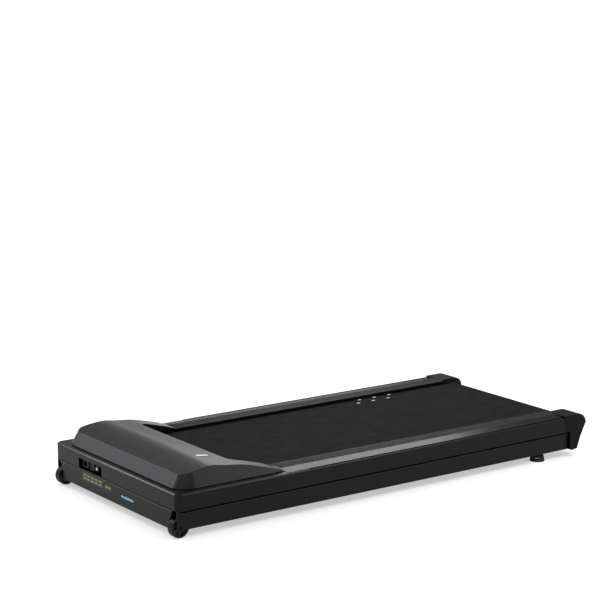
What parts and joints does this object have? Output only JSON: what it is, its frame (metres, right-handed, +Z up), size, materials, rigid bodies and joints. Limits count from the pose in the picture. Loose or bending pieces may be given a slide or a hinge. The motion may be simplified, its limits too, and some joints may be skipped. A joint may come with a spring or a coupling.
{
  "type": "walking treadmill",
  "caption": "Low flat walking treadmill with a wide belt between hollow side rails, a sloped motor hood in front, front transport wheels and levelling rear feet.",
  "frame": {"origin": "on the floor under the middle of the machine: bottom centre of its box", "axes": "+Y along the walking direction from the motor hood to the rear roller, +X across, +Z up"},
  "size_m": [0.724, 1.611, 0.1901],
  "materials": {
    "frame_paint": "satin black powder coat",
    "shell_plastic": "fine textured black ABS",
    "hood_plastic": "semi-gloss black ABS",
    "strip_plastic": "grey ribbed foot strip",
    "belt": "dark charcoal two-ply belt with a fine top texture",
    "deck": "phenolic-faced fibreboard",
    "rubber": "black rubber",
    "steel": "zinc plated",
    "aluminium": "extruded",
    "black_plastic": "moulded black nylon",
    "white_plastic": "white moulding",
    "cast_iron": "turned cast iron"
  },
  "bodies": {
    "chassis": {"front_crossmember": "frame_paint", "middle_crossmember": "frame_paint", "rear_crossmember": "frame_paint", "front_panel": "frame_paint", "motor_pan": "frame_paint", "motor_housing": "frame_paint", "motor_cradle": "frame_paint", "side_frame_left": "frame_paint", "rear_bracket_left": "frame_paint", "wheel_bracket_left": "frame_paint", "side_frame_right": "frame_paint", "rear_bracket_right": "frame_paint", "wheel_bracket_right": "frame_paint", "front_apron": "shell_plastic", "rail_cover_left": "shell_plastic", "rail_cover_right": "shell_plastic", "end_cap_left": "shell_plastic", "end_cap_right": "shell_plastic", "motor_hood": "hood_plastic", "foot_strip_left": "strip_plastic", "foot_strip_right": "strip_plastic", "walking_belt": "belt", "deck_board": "deck", "drive_belt": "rubber", "deck_cushion_left_1": "rubber", "deck_cushion_left_2": "rubber", "deck_cushion_left_3": "rubber", "deck_cushion_right_1": "rubber", "deck_cushion_right_2": "rubber", "deck_cushion_right_3": "rubber", "front_axle": "steel", "rear_axle": "steel", "port_screw_lower": "steel", "port_screw_upper": "steel", "tension_bolt_left": "steel", "wheel_bolt_left": "steel", "foot_nut_left": "steel", "tension_bolt_right": "steel", "wheel_bolt_right": "steel", "foot_nut_right": "steel", "heat_sink": "aluminium", "controller_case": "black_plastic", "port_plate": "black_plastic", "power_inlet": "black_plastic", "switch_bezel": "black_plastic", "breaker_body": "black_plastic"},
    "front_roller_body": {"front_roller": "steel", "drive_pulley": "cast_iron"},
    "rear_roller_body": {"rear_roller": "steel"},
    "rotor": {"motor_rotor": "cast_iron", "motor_pulley": "steel"},
    "rocker": {"switch_rocker": "black_plastic"},
    "reset_button": {"breaker_button": "white_plastic"},
    "wheel_left": {"transport_wheel_left": "black_plastic"},
    "foot_left": {"rear_foot_left": "rubber", "foot_stem_left": "steel"},
    "wheel_right": {"transport_wheel_right": "black_plastic"},
    "foot_right": {"rear_foot_right": "rubber", "foot_stem_right": "steel"}
  },
  "joints": [
    {"name": "front_roller_spin", "type": "hinge", "parent": "chassis", "child": "front_roller_body", "pos_m": [0, -0.5945, 0.104], "axis": [1, 0, 0], "continuous": true},
    {"name": "rear_roller_spin", "type": "hinge", "parent": "chassis", "child": "rear_roller_body", "pos_m": [0, 0.7485, 0.104], "axis": [1, 0, 0], "continuous": true},
    {"name": "motor_spin", "type": "hinge", "parent": "chassis", "child": "rotor", "pos_m": [-0.25, -0.6865, 0.088], "axis": [1, 0, 0], "continuous": true},
    {"name": "switch_rock", "type": "hinge", "parent": "chassis", "child": "rocker", "pos_m": [-0.146, -0.78, 0.1015], "axis": [1, 0, 0], "range_deg": [-16, 0]},
    {"name": "reset_press", "type": "slide", "parent": "chassis", "child": "reset_button", "axis": [0, 1, 0], "range_m": [0, 0.003], "stiffness_N_per_m": 500},
    {"name": "wheel_left_roll", "type": "hinge", "parent": "chassis", "child": "wheel_left", "pos_m": [-0.335, -0.7755, 0.03], "axis": [1, 0, 0], "continuous": true},
    {"name": "wheel_right_roll", "type": "hinge", "parent": "chassis", "child": "wheel_right", "pos_m": [0.335, -0.7755, 0.03], "axis": [1, 0, 0], "continuous": true},
    {"name": "foot_left_level", "type": "slide", "parent": "chassis", "child": "foot_left", "axis": [0, 0, -1], "range_m": [-0.003, 0.012]},
    {"name": "foot_right_level", "type": "slide", "parent": "chassis", "child": "foot_right", "axis": [0, 0, -1], "range_m": [-0.003, 0.012]}
  ],
  "couplings": [
    {"joint": "rear_roller_spin", "follows": "front_roller_spin", "ratio": 1},
    {"joint": "motor_spin", "follows": "front_roller_spin", "ratio": 2.3924}
  ]
}
